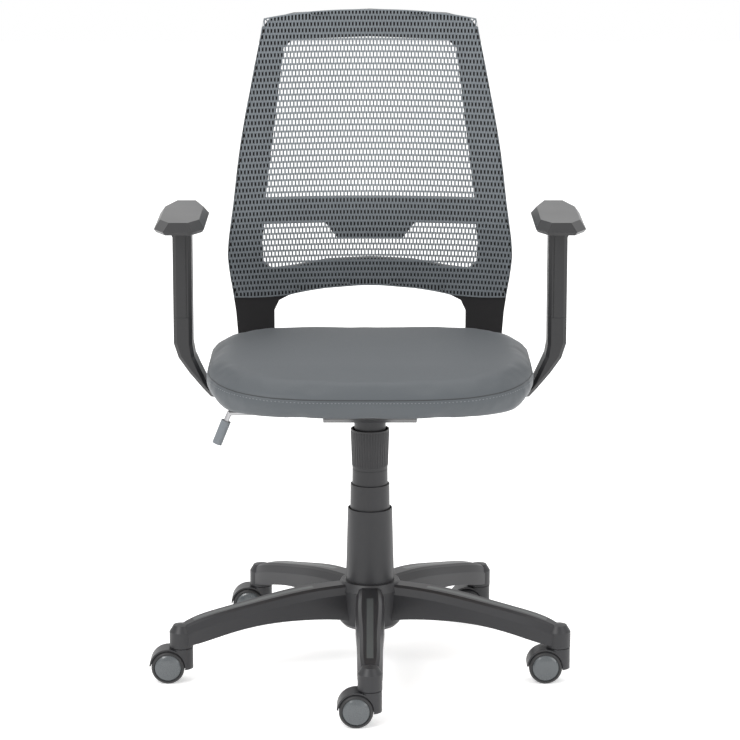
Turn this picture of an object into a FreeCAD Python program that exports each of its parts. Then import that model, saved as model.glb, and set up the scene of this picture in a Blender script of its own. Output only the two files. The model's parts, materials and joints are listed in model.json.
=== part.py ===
import FreeCAD, Part
import os
import Sketcher

Vector = FreeCAD.Vector
doc = FreeCAD.newDocument("task_chair")
sheet = doc.addObject("Spreadsheet::Sheet", "Sizes")

# Driving dimensions in millimetres. The origin is on the floor under the column, +Z up, the seat faces -Y.
sizes = {
    # base and casters
    "stem_circle": 300, "arm_tip_radius": 18, "ring_level": 54, "hub_radius": 46, "hub_top": 134,
    "hub_bottom": 68, "arm_root_width": 44, "arm_end_width": 35, "arm_drop": 42, "arm_mid": 170,
    "arm_far": 240, "mid_drop": 16, "far_drop": 29, "inlay_width": 10, "inlay_depth": 2.5,
    "strip_start": 92, "strip_end": 281, "socket_depth": 24, "stem_reach": 20,
    "wheel_radius": 25, "wheel_width": 13.5, "wheel_gap": 14, "trail": 20, "stem_radius": 5.5,
    "axle_radius": 3, "tread_gap": 0.8, "hood_wall": 2.4,
    "hood_width": 34, "cap_radius": 20, "cap_depth": 3, "slip": 0.05, "gap": 0.3,
    # column
    "tube_radius": 24, "tube_wall": 1.5, "tube_top": 250, "cylinder_radius": 14, "cylinder_low": 190,
    "cylinder_top": 406, "rod_radius": 5, "valve_radius": 4, "valve_depth": 8,
    "cover_wall": 1.6, "lower_low": 37, "lower_high": 34,
    "lower_top": 247, "middle_low": 31, "middle_high": 29.8, "middle_bottom": 186, "middle_top": 285,
    "upper_skirt": 26.9, "upper_rim": 29.3, "upper_bottom": 260, "collar_low": 309, "upper_top": 371,
    "socket_radius": 24, "socket_low": 366,
    # mechanism
    "case_half": 70, "case_low": 396, "plate_low": 430, "plate_half": 90, "pivot_back": -65,
    "pivot_level": 417, "pin_radius": 5, "lug_wall": 5, "lever_back": -40, "lever_level": 408,
    "lever_reach": 212, "lever_end": 404, "lever_radius": 4, "grip_radius": 7.5, "grip_length": 38,
    "grip_drop": 12, "grip_lean": 22,
    # seat
    "board_low": 436, "board_top": 448, "board_half": 196, "board_front": -180, "board_rear": 170,
    "seat_half": 255, "seat_front": -240, "seat_rear": 212, "seat_low": 436.4, "seat_top": 486,
    "bolt_radius": 3, "bolt_head": 6, "head_height": 4,
    # armrests
    "post_middle": 281.5, "post_wide": 28, "post_deep": 50, "sleeve_low": 547, "pad_low": 688,
    "pad_top": 705, "pad_middle": 281, "pad_wide": 74, "pad_long": 240, "pad_corner": 15,
    "post_bevel": 5, "groove_place": 7, "groove_size": 1.5, "sleeve_wall": 4,
    "core_top": 590, "foot_low": 425, "foot_inner": 120, "button_radius": 8,
    # back
    "back_top": 977, "back_low": 547, "back_top_half": 168, "back_mid_half": 223, "frame_deep": 16,
    "back_bow": 0.0007, "window_top": 936, "window_low": 690, "window_top_half": 136,
    "window_low_half": 164, "slot_top": 650, "slot_low": 590, "slot_half": 170, "leg_inner": 152,
    "leg_outer": 206, "mesh_thick": 2.5, "lumbar_half": 73, "lumbar_low_half": 51, "lumbar_top": 686,
    "lumbar_low": 622,
}
for row, (alias, size) in enumerate(sizes.items(), start=1):
    sheet.set("A%d" % row, str(size))
    sheet.setAlias("A%d" % row, alias)
doc.recompute()

nodes = []


def bind(item, **formulas):
    # Ties properties of an object to formulas of the sheet's names.
    for prop, formula in formulas.items():
        item.setExpression(prop.replace("__", "."), spell(formula))
    return item


def spell(formula):
    # Writes the sheet's name in front of each of its aliases.
    words = []
    word = ""
    for letter in str(formula) + " ":
        if letter.isalnum() or letter in "_.":
            word += letter
            continue
        words.append("Sizes." + word if word in sizes else word)
        words.append(letter)
        word = ""
    return "".join(words).strip()


def value_of(formula):
    return float(sheet.evalExpression(spell(formula)))


def keep(item, label):
    # Marks an object as a sub-part of the chair.
    item.Label = label
    nodes.append(item)
    return item


def move(item, x=0, y=0, z=0):
    return bind(item, Placement__Base__x=x, Placement__Base__y=y, Placement__Base__z=z)


def box(low, high):
    item = doc.addObject("Part::Box", "block")
    bind(item, Length="(%s) - (%s)" % (high[0], low[0]), Width="(%s) - (%s)" % (high[1], low[1]),
         Height="(%s) - (%s)" % (high[2], low[2]))
    return move(item, *low)


def rod(radius, length, start=(0, 0, 0), along="z"):
    item = doc.addObject("Part::Cylinder", "rod")
    turns = {"z": (Vector(0, 0, 1), 0), "y": (Vector(1, 0, 0), -90), "x": (Vector(0, 1, 0), 90)}
    item.Placement = FreeCAD.Placement(Vector(), FreeCAD.Rotation(*turns[along]))
    bind(item, Radius=radius, Height=length)
    return move(item, *start)


def joined(*pieces):
    item = doc.addObject("Part::MultiFuse", "joined")
    item.Shapes = list(pieces)
    return item


def without(piece, *tools):
    item = doc.addObject("Part::Cut", "cut")
    item.Base = piece
    item.Tool = tools[0] if len(tools) == 1 else joined(*tools)
    return item


def common(first, second):
    item = doc.addObject("Part::Common", "common")
    item.Base = first
    item.Tool = second
    return item


def mirrored(piece):
    item = doc.addObject("Part::Mirroring", "mirrored")
    item.Source = piece
    item.Normal = Vector(1, 0, 0)
    return item


def group(*pieces):
    item = doc.addObject("Part::Compound", "group")
    item.Links = list(pieces)
    return item


def outline(body, role, points, level=None):
    # Draws a closed polygon on one of the body's planes, each corner tied to the sheet.
    plane = next(part for part in body.Origin.OriginFeatures if part.Role == role)
    sketch = body.newObject("Sketcher::SketchObject", "outline")
    sketch.AttachmentSupport = [(plane, "")]
    sketch.MapMode = "FlatFace"
    if level is not None:
        bind(sketch, AttachmentOffset__Base__z=level)
    corners = [Vector(value_of(across), value_of(along), 0) for across, along in points]
    count = len(points)
    for index in range(count):
        sketch.addGeometry(Part.LineSegment(corners[index], corners[(index + 1) % count]))
    for index in range(count):
        sketch.addConstraint(Sketcher.Constraint("Coincident", index, 2, (index + 1) % count, 1))
    for index, (across, along) in enumerate(points):
        for kind, formula, axis, value in (("DistanceX", across, -2, corners[index].x),
                                           ("DistanceY", along, -1, corners[index].y)):
            if formula == 0:
                sketch.addConstraint(Sketcher.Constraint("PointOnObject", index, 1, axis))
                continue
            tie = sketch.addConstraint(Sketcher.Constraint(kind, -1, 1, index, 1, value))
            sketch.setExpression("Constraints[%d]" % tie, spell(formula))
    return sketch


def turned(points, role="XZ_Plane"):
    # A body of revolution: about Z from the XZ plane, about Y from the XY plane.
    body = doc.addObject("PartDesign::Body", "turned")
    sketch = outline(body, role, points)
    spin = body.newObject("PartDesign::Revolution", "spin")
    spin.Profile = sketch
    spin.ReferenceAxis = (sketch, ["V_Axis"])
    spin.Angle = 360
    return body


def plate(points, thickness, role="XZ_Plane", midplane=True):
    # A flat outline given a thickness.
    body = doc.addObject("PartDesign::Body", "plate")
    sketch = outline(body, role, points)
    pad = body.newObject("PartDesign::Pad", "pad")
    pad.Profile = sketch
    pad.Midplane = midplane
    bind(pad, Length=thickness)
    return body


def lofted(sections, role, smooth=False):
    # A solid through outlines that lie on parallel planes.
    body = doc.addObject("PartDesign::Body", "lofted")
    sketches = [outline(body, role, points, level) for level, points in sections]
    loft = body.newObject("PartDesign::AdditiveLoft", "loft")
    loft.Profile = sketches[0]
    loft.Sections = sketches[1:]
    loft.Ruled = not smooth
    return body


# --- base: hub and five lofted arms, each with a socket for a caster stem at its end
def arm_section(reach, top, bottom, width):
    # an arm's bevelled section at a distance from the column, wider below than on top
    half = "(%s) / 2" % width
    return reach, [("-(%s)" % half, bottom), (half, bottom), (half, "%s - 14" % top),
                   ("%s - 4" % half, "%s - 3" % top), ("%s - 9" % half, top), ("9 - %s" % half, top),
                   ("4 - %s" % half, "%s - 3" % top), ("-(%s)" % half, "%s - 14" % top)]


base = lofted([
    arm_section(20, "hub_top - 1", "hub_bottom + 2", "arm_root_width + 4"),
    arm_section(90, "hub_top - 5", "hub_bottom + 14", "arm_root_width - 1"),
    arm_section("arm_mid", "hub_top - mid_drop", "hub_bottom + 14", "arm_root_width - 3"),
    arm_section("arm_far", "hub_top - far_drop", "hub_bottom + 2", "arm_root_width - 6"),
    arm_section("stem_circle - 12", "hub_top - arm_drop", "ring_level + 5", "arm_end_width"),
    arm_section("stem_circle + arm_tip_radius - 9", "hub_top - arm_drop - 12", "ring_level + 3",
                "arm_end_width - 10"),
], "XZ_Plane", True)
arm_loft = base.Tip
tip = outline(base, "XZ_Plane", [(0, "ring_level"), ("arm_tip_radius", "ring_level"),
                                 ("arm_tip_radius", "hub_top - arm_drop - 14"),
                                 ("arm_tip_radius - 6", "hub_top - arm_drop - 4"),
                                 (0, "hub_top - arm_drop - 2")], "stem_circle")
tip_turn = base.newObject("PartDesign::Revolution", "tip")
tip_turn.Profile = tip
tip_turn.ReferenceAxis = (tip, ["V_Axis"])
tip_turn.Angle = 360
spread = base.newObject("PartDesign::PolarPattern", "spread")
spread.Originals = [arm_loft, tip_turn]
spread.Axis = (next(part for part in base.Origin.OriginFeatures if part.Role == "Z_Axis"), [""])
spread.Angle = 360
spread.Occurrences = 5
base.Tip = spread
hub = outline(base, "XZ_Plane", [(0, "hub_bottom - 6"), ("hub_radius - 6", "hub_bottom - 6"),
                                 ("hub_radius", "hub_bottom"), ("hub_radius + 4", "hub_top - 12"),
                                 ("hub_radius - 2", "hub_top"), (0, "hub_top")])
hub_turn = base.newObject("PartDesign::Revolution", "hub")
hub_turn.Profile = hub
hub_turn.ReferenceAxis = (hub, ["V_Axis"])
hub_turn.Angle = 360
base.Tip = hub_turn


def around(maker):
    # five copies of a piece, one over each caster
    pieces = []
    for arm in range(5):
        piece = maker()
        turn = 72 * arm
        piece.Placement.Rotation = FreeCAD.Rotation(Vector(0, 0, 1), turn)
        bind(piece, Placement__Base__x="stem_circle * sin(%d deg)" % turn,
             Placement__Base__y="-stem_circle * cos(%d deg)" % turn)
        pieces.append(piece)
    return pieces


def strip(arm):
    # the bed of an inlay: a slot of one width that follows the arm's top a little below it
    bed = [("-strip_start", "hub_top - 5 - inlay_depth"), ("-arm_mid", "hub_top - mid_drop - inlay_depth"),
           ("-arm_far", "hub_top - far_drop - inlay_depth"),
           ("-strip_end", "hub_top - arm_drop + 1 - inlay_depth"), ("-strip_end", "hub_top + 5"),
           ("-strip_start", "hub_top + 5")]
    piece = plate(bed, "inlay_width", "YZ_Plane")
    piece.Placement.Rotation = FreeCAD.Rotation(Vector(0, 0, 1), 72 * arm)
    return piece


taper = rod("tube_radius", "hub_top - hub_bottom + 10", (0, 0, "hub_bottom - 8"))
sockets = around(lambda: rod("stem_radius", "socket_depth + 1", (0, 0, "ring_level - 1")))
strips = joined(*[strip(arm) for arm in range(5)])
keep(common(base, strips), "base_inlays")
keep(without(base, taper, strips, *sockets), "base")

# --- casters: each trails to the same side, so that only the stem's place differs
for arm in range(5):
    turn = 72 * arm
    across = "stem_circle * sin(%d deg)" % turn
    along = "-stem_circle * cos(%d deg)" % turn

    def caster_part(piece, label):
        return keep(move(piece, across, along), "caster_%s_%d" % (label, arm + 1))

    stem = joined(rod("stem_radius", "stem_reach + socket_depth", (0, 0, "ring_level - stem_reach")),
                  rod("arm_tip_radius - 3", 1, (0, 0, "ring_level - 1")))
    caster_part(stem, "stem")

    hood = "wheel_radius + tread_gap + hood_wall"
    space = "wheel_radius + tread_gap"
    web = "wheel_gap / 2 - 0.5"
    fender = without(rod(hood, "hood_width", ("-trail", "-hood_width / 2", "wheel_radius"), "y"),
                     box(("-trail - 60", -40, -20), ("-trail + 60", 40, "wheel_radius + 2")))
    boss = rod("arm_tip_radius - 0.5", "ring_level - 1.3 - wheel_radius + 4", (0, 0, "wheel_radius - 4"))
    spine = rod("wheel_radius - 3", "2 * (%s)" % web, ("-trail", "-(%s)" % web, "wheel_radius"), "y")
    body = without(joined(fender, boss, spine),
                   rod(space, 40, ("-trail", web, "wheel_radius"), "y"),
                   rod(space, 40, ("-trail", "-(%s) - 40" % web, "wheel_radius"), "y"),
                   rod("stem_radius + slip", 60, (0, 0, "ring_level - stem_reach - 0.5")),
                   rod("axle_radius", 60, ("-trail", -30, "wheel_radius"), "y"))
    caster_part(body, "housing")

    axle_half = "wheel_gap / 2 + wheel_width - cap_depth - 1"
    caster_part(group(rod("axle_radius", "2 * (%s)" % axle_half,
                          ("-trail", "-(%s)" % axle_half, "wheel_radius"), "y")), "axle")

    def disc(side):
        near = "%s * wheel_gap / 2" % side
        far = "%s * (wheel_gap / 2 + wheel_width)" % side
        seat = "%s * (wheel_gap / 2 + wheel_width - cap_depth)" % side
        body = turned([("axle_radius + slip", near), ("wheel_radius - 2", near),
                       ("wheel_radius", "%s + %s * 2" % (near, side)),
                       ("wheel_radius", "%s - %s * 4" % (far, side)),
                       ("wheel_radius - 1.2", "%s - %s * 1.5" % (far, side)),
                       ("wheel_radius - 3", far), ("cap_radius + 0.5", far), ("cap_radius", seat),
                       ("axle_radius + slip", seat)], "XY_Plane")
        return move(body, "-trail", 0, "wheel_radius")

    caster_part(group(disc("1"), disc("-1")), "wheels")

    def cap(side):
        seat = "%s * (wheel_gap / 2 + wheel_width - cap_depth)" % side
        dome = [("cap_radius - 0.05", 2), ("cap_radius * 0.86", 3.6), ("cap_radius * 0.6", 4.6),
                ("cap_radius * 0.3", 5.2), (0, 5.4)]
        body = turned([(0, seat), ("cap_radius - 0.05", seat)]
                      + [(radius, "%s + %s * %s" % (seat, side, rise)) for radius, rise in dome], "XY_Plane")
        return move(body, "-trail", 0, "wheel_radius")

    caster_part(group(cap("1"), cap("-1")), "caps")

# --- column: pressure tube, bushing, bearing, piston rod, cylinder and three telescopic covers
inner = "tube_radius - tube_wall"
keep(turned([(inner, "hub_bottom - 2"), (inner, "tube_top"), ("tube_radius", "tube_top"),
             ("tube_radius", "hub_bottom - 6"), ("rod_radius + 1", "hub_bottom - 6"),
             ("rod_radius + 1", "hub_bottom - 2")]), "column_tube")
keep(turned([("cylinder_radius + slip", "tube_top - 50"), (inner, "tube_top - 50"), (inner, "tube_top - 2"),
             ("cylinder_radius + slip", "tube_top - 2")]), "guide_bush")
keep(turned([("rod_radius", "hub_bottom - 1.9"), ("rod_radius + 9", "hub_bottom - 1.9"),
             ("rod_radius + 9", "hub_bottom + 5"), ("rod_radius", "hub_bottom + 5")]), "thrust_bearing")
keep(turned([(0, "hub_bottom - 10"), ("rod_radius + 4", "hub_bottom - 10"),
             ("rod_radius + 4", "hub_bottom - 6.1"), ("rod_radius", "hub_bottom - 6.1"),
             ("rod_radius", "cylinder_low + 22"), (0, "cylinder_low + 22")]), "piston_rod")
keep(turned([("rod_radius + slip", "cylinder_low"), ("cylinder_radius", "cylinder_low"),
             ("cylinder_radius", "cylinder_top - 36"), ("cylinder_radius - 1", "cylinder_top"),
             ("valve_radius + slip", "cylinder_top"), ("valve_radius + slip", "cylinder_top - valve_depth"),
             (0, "cylinder_top - valve_depth"), (0, "cylinder_low + 130"),
             ("rod_radius + slip", "cylinder_low + 130")]),
     "gas_cylinder")
keep(rod("valve_radius", "valve_depth + 1", (0, 0, "cylinder_top + 4 - valve_depth")), "valve_button")
keep(turned([("lower_low", "hub_top"), ("lower_high", "lower_top"), ("lower_high - cover_wall", "lower_top"),
             ("lower_low - cover_wall", "hub_top + 3"), (inner + " + tube_wall + gap", "hub_top + 3"),
             (inner + " + tube_wall + gap", "hub_top")]), "cover_lower")
keep(turned([("middle_low", "middle_bottom"), ("middle_high", "middle_top"),
             ("middle_high - cover_wall", "middle_top"), ("middle_low - cover_wall", "middle_bottom + 3"),
             ("tube_radius + 0.5", "middle_bottom + 3"), ("tube_radius + 0.5", "middle_bottom")]),
     "cover_middle")
shelf = "upper_top - 24"
keep(turned([("upper_skirt + 0.5", "upper_bottom"), ("upper_skirt", "collar_low - 1"),
             ("upper_skirt - 0.5", "collar_low - 1"), ("upper_skirt - 0.5", "collar_low"),
             ("upper_skirt", "collar_low"), ("upper_rim", "upper_top"),
             ("upper_rim - cover_wall", "upper_top"),
             ("upper_skirt + 0.6 - cover_wall", shelf), ("cylinder_radius", shelf),
             ("cylinder_radius", "%s - 3" % shelf), ("upper_skirt - cover_wall - 0.6", "%s - 3" % shelf),
             ("upper_skirt - cover_wall - 0.3", "upper_bottom")]), "cover_upper")

# --- mechanism: housing with a socket on the cylinder, tilting plate on a pin, lever in a sliding bush
case_side = plate([(-100, "case_low + 12"), (-70, "case_low"), (45, "case_low"), (55, "case_low + 3"),
                   (50, "case_low + 8"), (0, "plate_low - 18"), ("pivot_back + 14", "plate_low - 4"),
                   (-88, "plate_low - 3"), (-100, "plate_low - 8")], "2 * case_half", "YZ_Plane")
socket_tube = rod("socket_radius", "case_low - socket_low + 4", (0, 0, "socket_low"))
bush_low = ("-case_half + 2", "lever_back - 10", "lever_level - 8")
bush_high = ("-case_half + 26", "lever_back + 10", "lever_level + 8")
cylinder_seat = turned([(0, "socket_low - 1"), ("cylinder_radius", "socket_low - 1"),
                        ("cylinder_radius", "cylinder_top - 36"), ("cylinder_radius - 1", "cylinder_top"),
                        (6, "cylinder_top"), (6, "plate_low + 5"), (0, "plate_low + 5")])
pin_hole = rod("pin_radius", "2 * case_half + 20", ("-case_half - 10", "pivot_back", "pivot_level"), "x")
spring_well = box((-28, "pivot_back - 13", "pivot_level - 11"), (28, "pivot_back + 13", "plate_low + 20"))
bush_well = box(("-case_half - 5", "lever_back - 10.1", "lever_level - 8.1"),
                ("-case_half + 26", "lever_back + 10.1", "lever_level + 8.1"))
keep(without(joined(case_side, socket_tube), cylinder_seat, pin_hole, spring_well, bush_well),
     "mechanism_housing")
lug = "case_half + 1"
pin_long = "2 * (case_half + 2 + lug_wall)"
keep(rod("pin_radius", pin_long, ("-(%s) / 2" % pin_long, "pivot_back", "pivot_level"), "x"), "pivot_pin")
keep(without(rod("pin_radius + 4", 54, (-27, "pivot_back", "pivot_level"), "x"),
             rod("pin_radius", 60, (-30, "pivot_back", "pivot_level"), "x")), "tilt_spring")


def ear(side):
    near = "%s * (%s)" % (side, lug)
    low = near if side == 1 else "-(%s) - lug_wall" % lug
    return joined(box((low, "pivot_back - 12", "pivot_level"), ("%s + lug_wall" % low, "pivot_back + 12",
                                                                "plate_low + 2")),
                  rod(12, "lug_wall", (low, "pivot_back", "pivot_level"), "x"))


screw_places = [(80, -88), (-80, -88), (80, 78), (-80, 78)]
foot_places = [(150, -15), (150, 15), (-150, -15), (-150, 15)]
leg_places = [(178, 130), (178, 158), (-178, 130), (-178, 158)]


def screws(places, head_level):
    # bolts up into the board, their heads under the piece that they hold
    shank = "board_top - 2 - (%s)" % head_level
    return group(*[joined(rod("bolt_head", "head_height", (across, along, "%s - head_height" % head_level)),
                          rod("bolt_radius", shank, (across, along, head_level)))
                   for across, along in places])


def holes(places):
    return [rod("bolt_radius + gap", "board_top - 2 - foot_low + 10", (across, along, "foot_low - 10"))
            for across, along in places]


keep(without(joined(box(("-case_half - 1 - lug_wall", -112, "plate_low"),
                        ("case_half + 1 + lug_wall", "plate_half", "board_low")),
                    box(("-plate_half", 60, "plate_low"), ("plate_half", "plate_half", "board_low")),
                    box(("-plate_half", -112, "plate_low"), ("plate_half", -76, "board_low")),
                    ear(1), ear(-1)),
             rod("pin_radius + slip", 200, (-100, "pivot_back", "pivot_level"), "x"),
             *holes(screw_places)), "seat_plate")

barrel = ("-case_half + 14", "lever_level")
keep(without(box(bush_low, bush_high),
             rod(5.6, 30, (barrel[0], "lever_back - 15", barrel[1]), "y"),
             box(("-case_half - 5", "lever_back - 5.5", "lever_level - 5.5"),
                 (barrel[0], "lever_back + 5.5", "lever_level + 5.5"))), "lever_bush")


def bar(radius, length, start, lean):
    # a round bar from a point in the lever's plane, leaning from upright about Y
    item = rod(radius, length, (start[0], "lever_back", start[1]))
    item.Placement.Rotation = FreeCAD.Rotation(Vector(0, 1, 0), 1)
    return bind(item, Placement__Rotation__Angle=lean)


elbow = ("-lever_reach", "lever_end")
run = "sqrt(pow(lever_reach - case_half + 14; 2) + pow(lever_level - lever_end; 2))"
run_lean = "atan((lever_reach - case_half + 14) / (lever_level - lever_end)) - 180 deg"
tail = "grip_length + grip_drop - 5"
knuckle = doc.addObject("Part::Sphere", "knuckle")
bind(knuckle, Radius="lever_radius")
move(knuckle, elbow[0], "lever_back", elbow[1])
keep(joined(rod(5.5, 18, (barrel[0], "lever_back - 9", barrel[1]), "y"),
            bar("lever_radius", run, barrel, run_lean), knuckle,
            bar("lever_radius", tail, elbow, "grip_lean - 180")), "lever_rod")
keep(without(bar("grip_radius", "grip_length", ("-lever_reach - grip_drop * tan(grip_lean * 1 deg)",
                                                "lever_end - grip_drop"), "grip_lean - 180"),
             bar("lever_radius", tail, elbow, "grip_lean - 180")), "lever_grip")


# --- seat: board, cushion around the board's edge, screws
def cushion_ring(level, share):
    right = [("0.30", "seat_front"), ("0.62", "seat_front + 13"), ("0.86", "seat_front + 42"),
             ("0.97", "seat_front + 100"), ("1", "seat_front + 190"), ("0.985", "seat_rear - 170"),
             ("0.94", "seat_rear - 60"), ("0.87", "seat_rear - 22"), ("0.72", "seat_rear - 5"),
             ("0.40", "seat_rear")]
    points = [("seat_half * %s * %s" % (part, share), "(%s) * %s" % (along, share)) for part, along in right]
    return level, points + [("-(%s)" % across, along) for across, along in reversed(points)]


cushion = lofted([cushion_ring("seat_low", 0.86), cushion_ring("seat_low + 15", 0.945),
                  cushion_ring("seat_low + 32", 0.995), cushion_ring("seat_top - 10", 1),
                  cushion_ring("seat_top", 0.93)], "XY_Plane")
board_shape = [("-board_half", "board_front + 30"), ("-board_half + 40", "board_front"),
               ("board_half - 40", "board_front"), ("board_half", "board_front + 30"),
               ("board_half", "board_rear - 25"), ("board_half - 25", "board_rear"),
               ("25 - board_half", "board_rear"), ("-board_half", "board_rear - 25")]


def board(low, high):
    return move(plate(board_shape, "%s - (%s)" % (high, low), "XY_Plane", False), 0, 0, low)


keep(without(cushion, board("board_low - 5", "board_top")), "seat_cushion")
keep(without(board("board_low", "board_top"), *holes(screw_places + foot_places + leg_places)), "seat_board")
keep(screws(screw_places, "plate_low"), "seat_bolts")
keep(screws(foot_places, "foot_low"), "arm_bolts")
keep(screws(leg_places, "foot_low"), "back_bolts")

# --- armrests: bent bracket, sleeve that slides on its core, pad and release button
outer_face = "post_middle + post_wide / 2"
inner_face = "post_middle - post_wide / 2"


def armrest(side, hand):
    def place(shape):
        return shape if side == 1 else mirrored(shape)

    bent = plate([("foot_inner", "foot_low"), ("post_middle - 41", "foot_low"),
                  ("post_middle - 29", "foot_low + 13"), ("post_middle - 9", "foot_low + 37"),
                  ("post_middle + 7", "foot_low + 60"), (outer_face, "foot_low + 82"),
                  (outer_face, "sleeve_low - gap"), (inner_face, "sleeve_low - gap"),
                  (inner_face, "foot_low + 80"), ("post_middle - 17", "foot_low + 62"),
                  ("post_middle - 25", "foot_low + 44"), ("post_middle - 34", "foot_low + 25"),
                  ("post_middle - 44", "board_low"), ("foot_inner", "board_low")], "post_deep")
    bevelled(bent, "post_bevel")
    core = box((inner_face + " + sleeve_wall + gap", "sleeve_wall + gap - post_deep / 2", "sleeve_low - 1"),
               (outer_face + " - sleeve_wall - gap", "post_deep / 2 - sleeve_wall - gap", "core_top"))
    bolt_holes = [rod("bolt_radius + gap", 30, (150, along, "foot_low - 10")) for along in (-15, 15)]
    keep(place(without(joined(bent, core), *bolt_holes)), "arm_bracket_" + hand)

    corners = []
    for across, inward in ((outer_face, -1), (inner_face, 1)):
        for near, far in ((0, "post_bevel"), ("post_bevel", 0))[::-inward]:
            corners.append(("%s + (%d) * %s" % (across, inward, near), "post_deep / 2 - (%s)" % far))
    ring = corners + [(across, "-(%s)" % along) for across, along in reversed(corners)]
    shell = move(plate(ring, "pad_low - sleeve_low", "XY_Plane", False), 0, 0, "sleeve_low")
    groove = inner_face + " + groove_place"
    grooves = [box((groove, "%s * post_deep / 2 - groove_size" % face, "sleeve_low - 1"),
                   (groove + " + groove_size", "%s * post_deep / 2 + groove_size" % face, "pad_low - 5"))
               for face in (-1, 1)]
    hollow = box((inner_face + " + sleeve_wall", "sleeve_wall - post_deep / 2", "sleeve_low - 1"),
                 (outer_face + " - sleeve_wall", "post_deep / 2 - sleeve_wall", "pad_low - 24"))
    window = rod("button_radius + 0.1", 30, ("post_middle", 0, "pad_low - 14"), "x")
    carrier = box(("pad_middle - pad_wide / 2 + 14", -70, "pad_low - 4"),
                  ("pad_middle + pad_wide / 2 - 14", 70, "pad_low"))
    keep(place(without(joined(shell, carrier), hollow, window, *grooves)), "arm_sleeve_" + hand)
    keep(place(joined(rod("button_radius", "post_wide / 2 - 2", ("post_middle + 4", 0, "pad_low - 14"), "x"),
                      rod("button_radius - 2.5", 1, (outer_face + " + 2", 0, "pad_low - 14"), "x"))),
         "arm_button_" + hand)

    half = "pad_wide / 2"
    pad = lofted([("pad_low", pad_ring("%s - 3" % half, "pad_long / 2 - 4")),
                  ("pad_low + 5", pad_ring(half, "pad_long / 2")),
                  ("pad_top", pad_ring("%s - 8" % half, "pad_long / 2 - 14"))], "XY_Plane")
    keep(place(move(pad, "pad_middle")), "arm_pad_" + hand)


def pad_ring(half, reach):
    # a long octagon, with longer corners at the rear
    right = [("%s - pad_corner" % half, "-(%s)" % reach), (half, "2 * pad_corner - (%s)" % reach),
             (half, "%s - 4 * pad_corner" % reach), ("%s - pad_corner" % half, reach)]
    return right + [("-(%s)" % across, along) for across, along in reversed(right)]


def bevelled(body, size):
    # bevels a bent plate's rising edges, and leaves those of its foot and its flat ends sharp
    doc.recompute()
    plain = body.Tip
    face_place = value_of("post_deep") / 2
    rising = ["Edge%d" % (index + 1) for index, edge in enumerate(plain.Shape.Edges)
              if edge.BoundBox.YLength < 0.01 and edge.BoundBox.ZLength > 12
              and abs(abs(edge.CenterOfMass.y) - face_place) < 0.01]
    bevel = body.newObject("PartDesign::Chamfer", "bevel")
    bevel.Base = (plain, rising)
    bind(bevel, Size=size)
    body.Tip = bevel


armrest(1, "right")
armrest(-1, "left")

# --- back: one double-curved sheet shape gives the mesh, the frame behind it and the lumbar support
back_curve = [(430, 252), (500, 251), (560, 241), (640, 228), (700, 232), (780, 249), (880, 278), (990, 311)]
sheet_rings = 15
sheet_low = 432
sheet_step = 39.5
spine = Part.BSplineCurve()
spine.interpolate([Vector(0, along, level) for level, along in back_curve])


def back_depth(level):
    # where the sheet's middle line passes a level
    flat = Part.Plane(Vector(0, 0, level), Vector(0, 0, 1))
    return spine.intersect(flat)[0][0].Y


def back_sheet(name, front, thickness):
    # a loft of arcs, bowed towards the sitter at both sides
    reach = value_of("back_mid_half") + 20
    bow = value_of("back_bow") * reach * reach
    rings = []
    for step in range(sheet_rings):
        level = sheet_low + step * sheet_step
        near = back_depth(level) + front
        far = near + thickness
        arcs = [Part.Arc(Vector(-reach, along - bow, level), Vector(0, along, level),
                         Vector(reach, along - bow, level)).toShape() for along in (near, far)]
        ends = [Part.makeLine(Vector(side * reach, near - bow, level), Vector(side * reach, far - bow, level))
                for side in (-1, 1)]
        rings.append(Part.Wire(Part.__sortEdges__([arcs[0], ends[1], arcs[1], ends[0]])))
    sheet_shape = doc.addObject("Part::Feature", name)
    sheet_shape.Shape = Part.makeLoft(rings, True, False)
    return sheet_shape


def both_sides(right):
    # a symmetric outline from its right half, given from the top down
    return right + [("-(%s)" % across if across != 0 else 0, level) for across, level in reversed(right)
                    if across != 0]


def prism(points):
    return plate(points, 900)


rim = [(0, "back_top"), ("back_top_half * 0.72", "back_top - 5"), ("back_top_half * 0.94", "back_top - 13"),
       ("back_top_half + 2", "back_top - 27"), ("back_top_half + 23", "back_top - 135"),
       ("back_mid_half - 19", "back_top - 210"), ("back_mid_half - 9", "back_top - 295"),
       ("back_mid_half - 1", "back_top - 355"), ("back_mid_half", "back_top - 380"),
       ("back_mid_half - 4", "back_top - 415")]
mesh_rim = rim + [("back_mid_half - 11", "back_low - 14"), ("leg_inner - 20", "back_low - 16"),
                  ("leg_inner - 57", "back_low - 7"), (0, "back_low")]
frame_rim = rim + [("back_mid_half - 11", "back_low - 38"), ("leg_outer", "foot_low"),
                   ("leg_inner", "foot_low"), ("leg_inner", "back_low - 40"),
                   ("leg_inner - 8", "back_low - 23"),
                   ("leg_inner - 24", "back_low - 15"), ("leg_inner - 57", "back_low - 7"), (0, "back_low")]
window = [(0, "window_top"), ("window_top_half - 14", "window_top - 4"),
          ("window_top_half", "window_top - 16"), ("window_low_half", "window_low"), (0, "window_low")]
slot = [(0, "slot_top"), ("slot_half - 4", "slot_top"), ("slot_half", "slot_top - 25"),
        ("slot_half - 2", "slot_low - 2"), ("slot_half - 14", "slot_low - 14"),
        ("slot_half * 0.7", "slot_low - 10"), ("slot_half * 0.4", "slot_low - 1"), (0, "slot_low + 2")]
lumbar_shape = [(0, "lumbar_top"), ("lumbar_half", "lumbar_top"), ("lumbar_half", "slot_top"),
                ("lumbar_low_half", "lumbar_low"), (0, "lumbar_low")]

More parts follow.
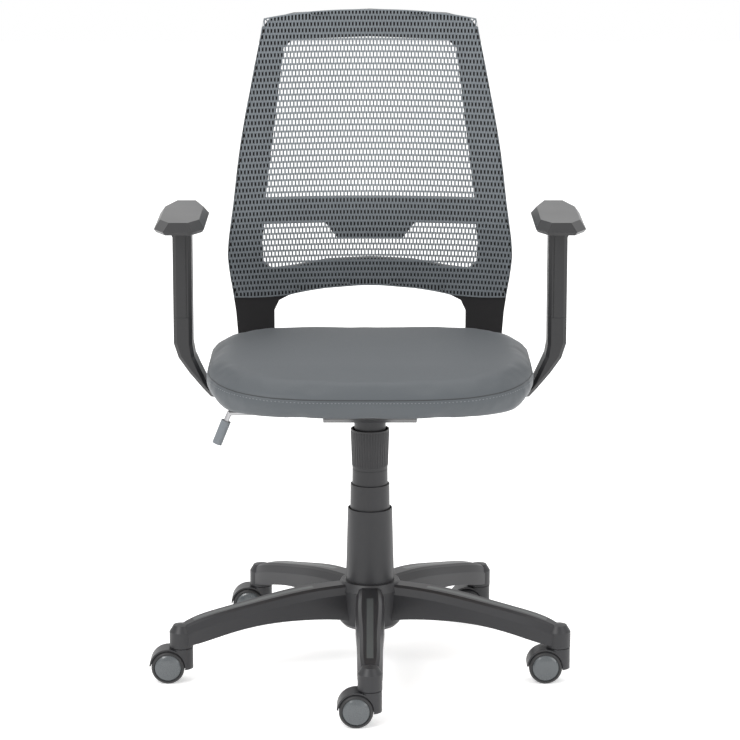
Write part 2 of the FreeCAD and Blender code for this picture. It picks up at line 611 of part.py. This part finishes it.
behind = value_of("mesh_thick + gap")
deep = value_of("frame_deep")
legs = joined(*[box(("%s" % low, 105, "foot_low"), ("%s" % high, 262, "board_low"))
                for low, high in (("leg_inner", "leg_outer"), ("-leg_outer", "-leg_inner"))])
frame = without(common(back_sheet("frame_sheet", behind, deep), prism(both_sides(frame_rim))),
                prism(both_sides(window)), prism(both_sides(slot)))
keep(without(joined(frame, legs), *holes(leg_places)), "back_frame")
keep(common(back_sheet("mesh_sheet", 0, value_of("mesh_thick")), prism(both_sides(mesh_rim))), "back_mesh")
lumbar_sheet = back_sheet("lumbar_sheet", behind + deep + value_of("gap"), 5)
keep(common(lumbar_sheet, prism(both_sides(lumbar_shape))), "lumbar_support")

doc.recompute()
for item in doc.Objects:
    if "Invalid" in item.State or "Error" in item.State:
        raise RuntimeError("%s (%s) did not build: %s" % (item.Name, item.Label, item.State))
for node in nodes:
    if node.Shape.isNull() or not node.Shape.isValid():
        raise RuntimeError("%s has no valid shape" % node.Label)
os.makedirs("parts", exist_ok=True)
for node in nodes:
    node.Shape.exportStep("parts/%s.step" % node.Label)
    print(node.Label, len(node.Shape.Solids), round(node.Shape.Volume / 1000, 1), "cm3")
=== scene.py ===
import json
from math import atan2, cos, pi, radians, sin, sqrt, tau
import bmesh
import bpy
from mathutils import Matrix, Vector
from mathutils.bvhtree import BVHTree


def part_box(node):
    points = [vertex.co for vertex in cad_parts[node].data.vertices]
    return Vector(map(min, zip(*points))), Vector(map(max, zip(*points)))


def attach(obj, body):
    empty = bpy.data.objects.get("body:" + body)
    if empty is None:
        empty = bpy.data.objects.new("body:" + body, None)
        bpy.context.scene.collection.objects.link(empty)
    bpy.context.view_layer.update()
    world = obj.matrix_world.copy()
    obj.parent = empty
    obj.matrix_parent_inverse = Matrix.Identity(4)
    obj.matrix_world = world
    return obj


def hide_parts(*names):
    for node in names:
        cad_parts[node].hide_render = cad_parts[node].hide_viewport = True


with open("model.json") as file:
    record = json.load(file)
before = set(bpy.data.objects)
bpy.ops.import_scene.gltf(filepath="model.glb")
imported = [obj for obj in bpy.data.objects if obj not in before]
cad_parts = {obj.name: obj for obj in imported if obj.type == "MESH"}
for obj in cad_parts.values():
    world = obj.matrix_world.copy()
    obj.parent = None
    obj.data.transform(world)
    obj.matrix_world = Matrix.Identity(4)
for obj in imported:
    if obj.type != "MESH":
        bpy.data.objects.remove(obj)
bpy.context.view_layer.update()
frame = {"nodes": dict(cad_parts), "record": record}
nodes = frame["nodes"]
mm = 0.001

# shader helpers


class Field:  # one output socket, with sums written as sums
    def __init__(self, tree, socket):
        self.tree = tree
        self.socket = socket

    def math(self, kind, other=0.0, clamp=False):
        node = self.tree.nodes.new("ShaderNodeMath")
        node.operation = kind
        node.use_clamp = clamp
        self.tree.links.new(self.socket, node.inputs[0])
        if isinstance(other, Field):
            self.tree.links.new(other.socket, node.inputs[1])
        else:
            node.inputs[1].default_value = other
        return Field(self.tree, node.outputs[0])

    def __add__(self, other):
        return self.math("ADD", other)

    def __mul__(self, other):
        return self.math("MULTIPLY", other)

    def __sub__(self, other):
        return self.math("SUBTRACT", other)

    def __truediv__(self, other):
        return self.math("DIVIDE", other)

    def __radd__(self, other):
        return self + other

    def __rmul__(self, other):
        return self * other

    def __rsub__(self, other):
        return self * -1.0 + other


class Finish:  # a material under construction
    def __init__(self, name, **settings):
        self.material = bpy.data.materials.new(name)
        self.material.use_nodes = True
        self.tree = self.material.node_tree
        self.shader = self.tree.nodes["Principled BSDF"]
        for socket, value in settings.items():
            self.shader.inputs[socket.replace("_", " ")].default_value = value

    def add(self, kind, output=0, inputs=None, **properties):
        node = self.tree.nodes.new("ShaderNode" + kind)
        for name, value in properties.items():
            setattr(node, name, value)
        for name, value in (inputs or {}).items():
            if isinstance(value, Field):
                self.tree.links.new(value.socket, node.inputs[name])
            else:
                node.inputs[name].default_value = value
        return Field(self.tree, node.outputs[output])

    def place(self):
        return self.add("TexCoord", "Object")

    def noise(self, scale, detail=3.0, roughness=0.5, at=None):
        return self.add("TexNoise", 0, {"Vector": at or self.place(), "Scale": scale, "Detail": detail,
                                        "Roughness": roughness})

    def cells(self, scale, feature="F1", at=None):
        return self.add("TexVoronoi", 0, {"Vector": at or self.place(), "Scale": scale}, feature=feature)

    def ramp(self, value, low, high):
        return self.add("MapRange", 0, {"Value": value, "To Min": low, "To Max": high})

    def tint(self, value, dark, light):
        node = self.tree.nodes.new("ShaderNodeMix")
        node.data_type = "RGBA"
        self.tree.links.new(value.socket, node.inputs[0])
        node.inputs[6].default_value = (*dark, 1)
        node.inputs[7].default_value = (*light, 1)
        return Field(self.tree, node.outputs[2])

    def bump(self, height, strength, distance):
        return self.add("Bump", 0, {"Height": height, "Strength": strength, "Distance": distance})

    def feed(self, socket, value):
        self.tree.links.new(value.socket, self.shader.inputs[socket])
        return self


def shade(colour, factor):
    return [channel * factor for channel in colour]


# finishes


def mouldedPlastic(name, colour, rough, grain=1400, depth=0.05):
    finish = Finish(name, Specular_IOR_Level=0.45)
    broad = finish.noise(9, 4)
    fine = finish.noise(grain, 2, 0.6)
    spots = finish.cells(grain * 0.6)
    finish.feed("Base Color", finish.tint(broad, shade(colour, 0.85), shade(colour, 1.18)))
    finish.feed("Roughness", finish.ramp(broad * 0.6 + fine * 0.4, rough - 0.07, rough + 0.08))
    finish.feed("Normal", finish.bump(fine * 0.6 + spots * 0.4, 0.35, depth * mm))
    return finish.material


def leatherette(name, colour):
    finish = Finish(name, Specular_IOR_Level=0.4, Sheen_Weight=0.08, Sheen_Roughness=0.5)
    pebbles = finish.cells(950, "SMOOTH_F1")
    creases = finish.noise(260, 5, 0.65)
    broad = finish.noise(6, 3)
    patches = broad * 0.5 + pebbles * 0.5
    finish.feed("Base Color", finish.tint(patches, shade(colour, 0.9), shade(colour, 1.12)))
    finish.feed("Roughness", finish.ramp(broad * 0.5 + creases * 0.5, 0.46, 0.62))
    finish.feed("Normal", finish.bump(pebbles * 0.7 + creases * 0.3, 0.5, 0.16 * mm))
    return finish.material


def yarn(name, colour):
    finish = Finish(name, Specular_IOR_Level=0.35, Sheen_Weight=0.25, Sheen_Roughness=0.4)
    strands = finish.noise(2200, 3, 0.6)
    broad = finish.noise(25, 3)
    patches = broad * 0.4 + strands * 0.6
    finish.feed("Base Color", finish.tint(patches, shade(colour, 0.72), shade(colour, 1.3)))
    finish.feed("Roughness", finish.ramp(strands, 0.5, 0.75))
    finish.feed("Normal", finish.bump(strands, 0.6, 0.25 * mm))
    return finish.material


def drawnSteel(name, colour, rough):
    finish = Finish(name, Metallic=1.0)
    stretched = finish.add("Mapping", 0, {"Vector": finish.place(), "Scale": (1, 1, 0.04)})
    lines = finish.noise(3200, 2, 0.5, stretched)
    finish.feed("Base Color", finish.tint(lines, shade(colour, 0.85), shade(colour, 1.1)))
    finish.feed("Roughness", finish.ramp(lines, rough - 0.06, rough + 0.1))
    finish.feed("Normal", finish.bump(lines, 0.2, 0.02 * mm))
    return finish.material


def plywood(name, colour):
    finish = Finish(name)
    rings = finish.add("TexWave", 0, {"Vector": finish.place(), "Scale": 18, "Distortion": 6, "Detail": 3})
    finish.feed("Base Color", finish.tint(rings, shade(colour, 0.7), shade(colour, 1.1)))
    finish.feed("Roughness", finish.ramp(rings, 0.55, 0.75))
    finish.feed("Normal", finish.bump(rings, 0.2, 0.1 * mm))
    return finish.material


def domedCap(name, colour):
    finish = Finish(name, Coat_Weight=0.6, Coat_Roughness=0.08, Specular_IOR_Level=0.5)
    broad = finish.noise(40, 3)
    fine = finish.noise(900, 2)
    finish.feed("Base Color", finish.tint(broad, shade(colour, 0.9), shade(colour, 1.1)))
    finish.feed("Roughness", finish.ramp(broad * 0.5 + fine * 0.5, 0.22, 0.34))
    finish.feed("Normal", finish.bump(fine, 0.1, 0.02 * mm))
    return finish.material


# the seam colour is painted shade: a dark tone that stands for the shade in the crease of the cushion's seam
colours = {"nylon": (0.016, 0.016, 0.018), "inlay": (0.060, 0.066, 0.066), "leather": (0.066, 0.074, 0.081),
           "yarn": (0.13, 0.145, 0.158), "frame": (0.0085, 0.0078, 0.0085), "cap": (0.062, 0.070, 0.075),
           "tread": (0.014, 0.014, 0.015), "arm": (0.014, 0.014, 0.015), "grip": (0.14, 0.155, 0.17),
           "seam": (0.024, 0.027, 0.030), "thread": (0.15, 0.165, 0.178)}
finishes = {
    "nylon": mouldedPlastic("moulded nylon", colours["nylon"], 0.42),
    "inlay": mouldedPlastic("grey inlay", colours["inlay"], 0.38),
    "steel": drawnSteel("drawn steel", (0.42, 0.42, 0.43), 0.32),
    "grip": mouldedPlastic("grip sleeve", colours["grip"], 0.4),
    "plywood": plywood("seat ply", (0.42, 0.28, 0.16)),
    "leatherette": leatherette("grey leatherette", colours["leather"]),
    "arm_plastic": mouldedPlastic("satin arm plastic", colours["arm"], 0.36),
    "pad": mouldedPlastic("soft arm pad", colours["arm"], 0.33),
    "frame_plastic": mouldedPlastic("back frame plastic", colours["frame"], 0.5),
    "mesh": yarn("mesh yarn", colours["yarn"]),
    "tread": mouldedPlastic("wheel tread", colours["tread"], 0.5),
    "hub_cap": domedCap("domed wheel cap", colours["cap"]),
    # the seam finish is the cushion's leatherette darkened as painted shade for the seam's crease
    "seam": leatherette("painted seam shade", colours["seam"]),
    "thread": yarn("sewing thread", colours["thread"]),
}
for part in frame["record"]["subparts"]:
    cadNode = nodes[part["node"]]
    cadNode.data.materials.clear()
    cadNode.data.materials.append(finishes[part["material_slot"]])
print("finishes made:", len(finishes))

# mesh helpers


def toPiece(bm, name, slot, body, replaced=(), smooth=True):  # a finished bmesh becomes a riding piece
    bmesh.ops.recalc_face_normals(bm, faces=bm.faces)
    data = bpy.data.meshes.new(name)
    bm.to_mesh(data)
    bm.free()
    if smooth:
        data.polygons.foreach_set("use_smooth", [True] * len(data.polygons))
    data.materials.append(finishes[slot])
    piece = bpy.data.objects.new(name, data)
    bpy.context.scene.collection.objects.link(piece)
    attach(piece, body)
    if replaced:
        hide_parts(*replaced)
    return piece


def applyModifiers(piece):
    depsgraph = bpy.context.evaluated_depsgraph_get()
    baked = bpy.data.meshes.new_from_object(piece.evaluated_get(depsgraph))
    piece.modifiers.clear()
    piece.data = baked
    baked.polygons.foreach_set("use_smooth", [True] * len(baked.polygons))


def subsurf(piece, levels=1):
    modifier = piece.modifiers.new("smooth", "SUBSURF")
    modifier.levels = modifier.render_levels = levels
    return piece


def bevelEdges(bm, edges, offset, segments=3):
    bmesh.ops.bevel(bm, geom=edges, offset=offset, offset_type="OFFSET", affect="EDGES", segments=segments,
                    profile=0.5, material=-1, clamp_overlap=True)


def eased(points, at):  # a smooth curve through a short list of (place, value)
    places = [place for place, value in points]
    if at <= places[0]:
        return points[0][1]
    if at >= places[-1]:
        return points[-1][1]
    index = max(i for i, place in enumerate(places) if place <= at)
    index = min(index, len(points) - 2)

    def slope(i):
        low, high = max(i - 1, 0), min(i + 1, len(points) - 1)
        return (points[high][1] - points[low][1]) / (places[high] - places[low])

    step = places[index + 1] - places[index]
    t = (at - places[index]) / step
    a, b = points[index][1], points[index + 1][1]
    return ((2 * t**3 - 3 * t**2 + 1) * a + (t**3 - 2 * t**2 + t) * step * slope(index)
            + (3 * t**2 - 2 * t**3) * b + (t**3 - t**2) * step * slope(index + 1))


# the seat cushion

seat = {"frontLip": 0.004, "crown": 0.004, "voxel": 0.008, "frames": 10, "pressure": 4.0, "cap": 0.008,
        "stiffness": 25, "seamDrop": 0.013, "seamRadius": 0.0009, "stitchDrop": 0.0045,
        "stitchPitch": 0.0052, "stitchHalf": 0.0014, "stitchRadius": 0.00055, "saddle": 0.006}


# the cushion's rounded plan: nearly straight sides, a full front and a narrower rear
def seatOutline(angle, low, high):
    halfX = (high.x - low.x) / 2
    middleY = low.y + (high.y - low.y) * 0.50
    c, s = cos(angle), sin(angle)
    power = 4.2 if s > 0 else 3.4
    radius = (abs(c) ** power + abs(s) ** power) ** (-1 / power)
    x = halfX * radius * c
    y = (high.y - low.y) / 2 * radius * s
    taper = 1 - 0.03 * max(0.0, y / (high.y - low.y) * 2) ** 2
    return x * taper, middleY + y


def cushionBlank(low, high):
    bm = bmesh.new()
    steps = 72
    rings = [(-0.003, 0.85), (0.004, 0.925), (0.016, 0.972), (0.030, 0.992), (0.040, 0.985), (0.0475, 0.955)]
    ring = bmesh.ops.create_circle(bm, segments=steps, radius=1, cap_ends=False)["verts"]
    edges = list({edge for vert in ring for edge in vert.link_edges})
    middle = Vector(((low.x + high.x) / 2, (low.y + high.y) / 2, 0))

    def setRing(verts, level, share):
        for vert in verts:
            x, y = seatOutline(atan2(vert.co.y, vert.co.x), low, high)
            vert.co = Vector((middle.x + (x - middle.x) * share, middle.y + (y - middle.y) * share,
                              low.z + level))

    rounds = [list(ring)]
    for level, share in rings[1:]:
        grown = bmesh.ops.extrude_edge_only(bm, edges=edges)["geom"]
        rounds.append([item for item in grown if isinstance(item, bmesh.types.BMVert)])
        edges = [item for item in grown if isinstance(item, bmesh.types.BMEdge)
                 and all(vert in rounds[-1] for vert in item.verts)]
    for verts, (level, share) in zip(rounds, rings):
        setRing(verts, level, share)
    top = bmesh.ops.contextual_create(bm, geom=edges)["faces"]
    bottomEdges = [edge for edge in bm.edges if edge.is_boundary]
    bottom = bmesh.ops.contextual_create(bm, geom=bottomEdges)["faces"]
    for face in top + bottom:
        bmesh.ops.inset_region(bm, faces=[face], thickness=0.06, depth=0)
    return bm


# the slow shape of the top: dished across, lifted at the rear, rolled down in front
def cushionForm(point, low, high):
    across = point.x / ((high.x - low.x) / 2)
    along = (point.y - low.y) / (high.y - low.y)
    weight = min(1.0, max(0.0, (point.z - low.z) / (high.z - low.z)))
    rise = seat["saddle"] * across * across * (0.4 + 0.9 * along)
    roll = -0.010 * max(0.0, 1 - along / 0.30) ** 2
    drop = -seat["frontLip"] * max(0.0, 1 - along / 0.25) * (1 - weight)
    return rise * weight + roll * weight + drop + seat["crown"] * 0.3 * weight


def swell(piece):  # inflated cloth, capped, then kept as plain mesh
    scene = bpy.context.scene
    remesh = piece.modifiers.new("remesh", "REMESH")
    remesh.mode = "VOXEL"
    remesh.voxel_size = seat["voxel"]
    applyModifiers(piece)
    before = [vert.co.copy() for vert in piece.data.vertices]
    cloth = piece.modifiers.new("cloth", "CLOTH")
    cloth.settings.use_pressure = True
    cloth.settings.uniform_pressure_force = seat["pressure"]
    cloth.settings.effector_weights.gravity = 0
    cloth.settings.tension_stiffness = seat["stiffness"]
    cloth.settings.compression_stiffness = seat["stiffness"]
    cloth.point_cache.frame_start = 1
    cloth.point_cache.frame_end = seat["frames"]
    for step in range(1, seat["frames"] + 1):
        scene.frame_set(step)
    applyModifiers(piece)
    scene.frame_set(1)
    for vert, start in zip(piece.data.vertices, before):
        shift = vert.co - start
        if shift.length > seat["cap"]:
            vert.co = start + shift.normalized() * seat["cap"]


def makeCushion():
    low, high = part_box("seat_cushion")
    piece = toPiece(cushionBlank(low, high), "seatCushion", "leatherette", "seat", ["seat_cushion"])
    swell(piece)
    bm = bmesh.new()
    bm.from_mesh(piece.data)
    for repeat in range(2):
        bmesh.ops.smooth_vert(bm, verts=bm.verts, factor=0.5, use_axis_x=True, use_axis_y=True,
                              use_axis_z=True)
    for vert in bm.verts:  # kept from sagging below the cushion's own underside
        vert.co.z = max(low.z, vert.co.z + cushionForm(vert.co, low, high))
    bm.to_mesh(piece.data)
    bm.free()
    subsurf(piece, 1)
    applyModifiers(piece)
    return piece, low, high


def surfaceRing(tree, low, high, drop, steps, lift=0.0):  # points round the cushion on its skin at one height
    middle = Vector((0, (low.y + high.y) / 2, 0))
    points = []
    for step in range(steps):
        angle = tau * step / steps
        x, y = seatOutline(angle, low, high)
        level = high.z - drop + cushionForm(Vector((x, y, high.z - drop)), low, high)
        start = Vector((x * 1.3, middle.y + (y - middle.y) * 1.3, level))
        inward = (Vector((middle.x, middle.y, level)) - start).normalized()
        hit, normal, index, distance = tree.ray_cast(start, inward)
        if hit:
            points.append((hit + normal * lift, normal))
    return points


def tubeAlong(name, slot, points, radius, body):
    data = bpy.data.curves.new(name, "CURVE")
    data.dimensions = "3D"
    data.bevel_depth = radius
    data.bevel_resolution = 2
    spline = data.splines.new("POLY")
    spline.points.add(len(points) - 1)
    for target, point in zip(spline.points, points):
        target.co = (*point, 1)
    spline.use_cyclic_u = True
    curve = bpy.data.objects.new(name + "Path", data)
    bpy.context.scene.collection.objects.link(curve)
    mesh = bpy.data.meshes.new_from_object(curve.evaluated_get(bpy.context.evaluated_depsgraph_get()))
    bpy.data.objects.remove(curve)
    bm = bmesh.new()
    bm.from_mesh(mesh)
    return toPiece(bm, name, slot, body)


def addCapsule(bm, start, end, radius):  # one stitch: a short round-ended bar lying on the skin
    middle = (start + end) / 2
    direction = (end - start).normalized()
    turn = direction.to_track_quat("Z", "Y").to_matrix().to_4x4()
    length = (end - start).length
    scale = Matrix.Diagonal((radius, radius, length / 2, 1))
    bmesh.ops.create_uvsphere(bm, u_segments=6, v_segments=6, radius=1,
                              matrix=Matrix.Translation(middle) @ turn @ scale)


def sewCushion(piece, low, high):
    tree = BVHTree.FromObject(piece, bpy.context.evaluated_depsgraph_get())
    seam = surfaceRing(tree, low, high, seat["seamDrop"], 260, -0.0002)
    # the seam tube is a dark line of painted shade, sunk slightly into the skin along the seam's crease
    tubeAlong("seatSeamShade", "seam", [point for point, normal in seam], seat["seamRadius"], "seat")
    rows = surfaceRing(tree, low, high, seat["seamDrop"] + seat["stitchDrop"], 720, 0.0001)
    bm = bmesh.new()
    count = len(rows)
    length = sum((rows[i][0] - rows[i - 1][0]).length for i in range(count))
    stitches = int(length / seat["stitchPitch"])
    for stitch in range(stitches):
        at = stitch * count / stitches
        start = rows[int(at) % count][0]
        after = rows[(int(at) + 1) % count][0]
        place = start.lerp(after, at - int(at))
        direction = (after - start).normalized()
        reach = direction * seat["stitchHalf"]
        addCapsule(bm, place - reach, place + reach, seat["stitchRadius"])
    toPiece(bm, "seatStitches", "thread", "seat")
    print("stitches:", stitches)


cushion, seatLow, seatHigh = makeCushion()
sewCushion(cushion, seatLow, seatHigh)
print("cushion made")

# ribs round the top collar of the column

collar = {"ribs": 40, "wide": 2.0 * mm, "proud": 0.5 * mm, "sunk": 0.8 * mm, "flare": 2.4 * mm,
          "start": 0.309, "low": 0.314, "high": 0.368, "bevel": 0.4 * mm}


def makeCollarRibs():
    low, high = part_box("cover_upper")
    rimRadius = (high.x - low.x) / 2
    skirtRadius = rimRadius - collar["flare"]
    share = (collar["high"] - collar["low"]) / (high.z - collar["start"])
    bm = bmesh.new()
    for rib in range(collar["ribs"]):
        made = bmesh.ops.create_cube(bm, size=1)["verts"]
        for vert in made:
            top = vert.co.z > 0
            radius = skirtRadius + (rimRadius - skirtRadius) * (share if top else 0.08)
            out = radius + (collar["proud"] if vert.co.x > 0 else -collar["sunk"])
            vert.co = Vector((out, vert.co.y * collar["wide"], collar["high"] if top else collar["low"]))
        turn = Matrix.Rotation(tau * rib / collar["ribs"], 3, "Z")
        bmesh.ops.rotate(bm, verts=made, cent=(0, 0, 0), matrix=turn)
    outside = skirtRadius + 0.4 * mm
    outer = [edge for edge in bm.edges if all(vert.co.xy.length > outside for vert in edge.verts)]
    bevelEdges(bm, outer, collar["bevel"], 2)
    toPiece(bm, "collarRibs", "nylon", "carrier")


makeCollarRibs()
print("collar ribs made")

# the stretched mesh on the back

net = {"pitch": 5.44 * mm, "row": 9.3 * mm, "slotWide": 0.53, "slotTall": 0.70, "thick": 0.9 * mm,
       "wrap": 6 * mm, "offset": 0.6 * mm, "bow": 0.7, "corner": 0.026, "zigzag": 0.16, "merge": 1.2 * mm,
       "width": 0.46}
# how far the sheet stands back at each height, and its half-width there, in metres
netDepth = [(0.430, 0.252), (0.500, 0.251), (0.560, 0.241), (0.640, 0.228), (0.700, 0.232), (0.780, 0.249),
            (0.880, 0.278), (0.990, 0.311)]
netSide = [(0.530, 0.214), (0.562, 0.219), (0.597, 0.223), (0.622, 0.222), (0.682, 0.214), (0.767, 0.204),
           (0.842, 0.191), (0.950, 0.170)]


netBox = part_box("back_mesh")


def netHalf(level):
    half = eased(netSide, level)
    cornerLow = netBox[1].z - net["corner"]
    if level > cornerLow:  # rounded top corners
        down = min(1.0, (level - cornerLow) / net["corner"])
        half = 0.170 - 0.036 * (1 - sqrt(max(0.0, 1 - down * down)))
    return half


def netTop(x):
    return netBox[1].z - 0.011 * (abs(x) / 0.16) ** 2.5


def netBottom(x):
    a = abs(x)
    if a < 0.13:
        return 0.547 - 0.014 * (a / 0.13) ** 2
    return 0.533 - 0.002 * sin((a - 0.13) / 0.085 * pi)


def netPlace(x, level, lift=0.0):  # on the bowed sheet, lifted towards the sitter
    return Vector((x, eased(netDepth, level) - net["bow"] * x * x - lift, level))


def makeNet():
    low, high = netBox
    columns = 2 * int(round(net["width"] / net["pitch"]))
    rows = int(round((high.z - low.z + 0.02) / net["row"]))
    bm = bmesh.new()
    bmesh.ops.create_grid(bm, x_segments=columns, y_segments=rows, size=0.5)
    wide = columns * net["pitch"] / 2
    start = low.z - 0.008
    for vert in bm.verts:
        column = round((vert.co.x + 0.5) * columns)
        row = round((vert.co.y + 0.5) * rows)
        shift = net["zigzag"] if (column + row) % 2 else -net["zigzag"]
        vert.co = Vector(((column / columns - 0.5) * wide, 0, start + (row + shift) * net["row"]))
        vert.index = column + 10000 * row
    thin = []  # every second upright, so that the cells stand like bricks
    for edge in bm.edges:
        first, second = [vert.index for vert in edge.verts]
        upright = first % 10000 == second % 10000
        if upright and (first % 10000 + min(first, second) // 10000) % 2 and not edge.is_boundary:
            thin.append(edge)
    bmesh.ops.dissolve_edges(bm, edges=thin, use_verts=False)
    outside = []
    for face in bm.faces:
        middle = face.calc_center_median()
        if abs(middle.x) > netHalf(middle.z) or middle.z > netTop(middle.x) or middle.z < netBottom(middle.x):
            outside.append(face)
    bmesh.ops.delete(bm, geom=outside, context="FACES")
    for vert in bm.verts:  # the rim's cells are drawn in to the edge of the frame
        vert.co.z = min(max(vert.co.z, netBottom(vert.co.x)), netTop(vert.co.x))
        half = netHalf(vert.co.z)
        if vert.is_boundary or abs(vert.co.x) > half:
            near = half - abs(vert.co.x)
            if near < net["pitch"] * 0.75:
                vert.co.x = half * (1 if vert.co.x > 0 else -1)
            top, bottom = netTop(vert.co.x), netBottom(vert.co.x)
            if top - vert.co.z < net["row"] * 0.8:
                vert.co.z = top
            if vert.co.z - bottom < net["row"] * 0.8:
                vert.co.z = bottom
    bmesh.ops.remove_doubles(bm, verts=bm.verts, dist=net["merge"])
    rim = [edge for edge in bm.edges if edge.is_boundary]
    grown = bmesh.ops.extrude_edge_only(bm, edges=rim)["geom"]
    turned = {item for item in grown if isinstance(item, bmesh.types.BMVert)}
    for vert in turned:
        vert.co.y = net["wrap"]
    front = [face for face in bm.faces if not any(vert in turned for vert in face.verts)]
    bmesh.ops.inset_individual(bm, faces=front, thickness=0, depth=0)
    for face in front:  # the inner outline shrinks towards its own middle, into the cell's slot
        middle = face.calc_center_bounds()
        for vert in face.verts:
            vert.co.x = middle.x + (vert.co.x - middle.x) * net["slotWide"]
            vert.co.z = middle.z + (vert.co.z - middle.z) * net["slotTall"]
    bmesh.ops.delete(bm, geom=front, context="FACES_ONLY")
    for vert in bm.verts:
        back = vert.co.y
        place = netPlace(vert.co.x, vert.co.z, net["offset"])
        vert.co = place + Vector((0, back, 0))
    piece = toPiece(bm, "backNet", "mesh", "seat", ["back_mesh"])
    solid = piece.modifiers.new("thick", "SOLIDIFY")
    solid.thickness = net["thick"]
    solid.offset = 0
    applyModifiers(piece)
    print("net triangles:", sum(len(face.vertices) - 2 for face in piece.data.polygons))


makeNet()

# stage, light and camera

studio = {"distance": 4.5, "height": 1.437, "pitch": 12.23, "lens": 147.8, "key": 62, "fill": 24, "rim": 22,
          "world": 1.0}


def makeStage():
    bm = bmesh.new()
    bmesh.ops.create_grid(bm, x_segments=8, y_segments=8, size=9)
    data = bpy.data.meshes.new("studioFloor")
    bm.to_mesh(data)
    bm.free()
    finish = Finish("pale floor", Emission_Color=(1, 1, 1, 1), Emission_Strength=0.35)
    cloud = finish.noise(1.5, 2)
    finish.feed("Base Color", finish.tint(cloud, (0.93, 0.93, 0.93), (0.96, 0.96, 0.96)))
    finish.feed("Roughness", finish.ramp(cloud, 0.6, 0.7))
    data.materials.append(finish.material)
    floor = bpy.data.objects.new("studioFloor", data)
    bpy.context.scene.collection.objects.link(floor)


def softLight(name, place, target, size, power):
    data = bpy.data.lights.new(name, "AREA")
    data.shape = "RECTANGLE"
    data.size, data.size_y = size
    data.energy = power
    light = bpy.data.objects.new(name, data)
    light.location = place
    light.rotation_euler = (Vector(target) - Vector(place)).to_track_quat("-Z", "Y").to_euler()
    bpy.context.scene.collection.objects.link(light)


def makeStudio():
    scene = bpy.context.scene
    makeStage()
    softLight("keyLight", (-1.9, -2.2, 2.9), (0, 0, 0.5), (1.8, 1.8), studio["key"])
    softLight("fillLight", (2.6, -2.0, 1.8), (0, 0, 0.5), (1.6, 2.2), studio["fill"])
    softLight("topLight", (0, 0.9, 3.0), (0, 0, 0.5), (2.4, 1.2), studio["rim"])
    world = bpy.data.worlds.new("studio")
    world.use_nodes = True
    world.node_tree.nodes["Background"].inputs[0].default_value = (1, 1, 1, 1)
    world.node_tree.nodes["Background"].inputs[1].default_value = studio["world"]
    scene.world = world
    data = bpy.data.cameras.new("camera")
    data.lens = studio["lens"]
    data.sensor_width = 36
    camera = bpy.data.objects.new("camera", data)
    camera.location = (0, -studio["distance"], studio["height"])
    camera.rotation_euler = (radians(90 - studio["pitch"]), 0, 0)
    scene.collection.objects.link(camera)
    scene.camera = camera
    scene.view_settings.view_transform = "Standard"


makeStudio()
print("studio ready")
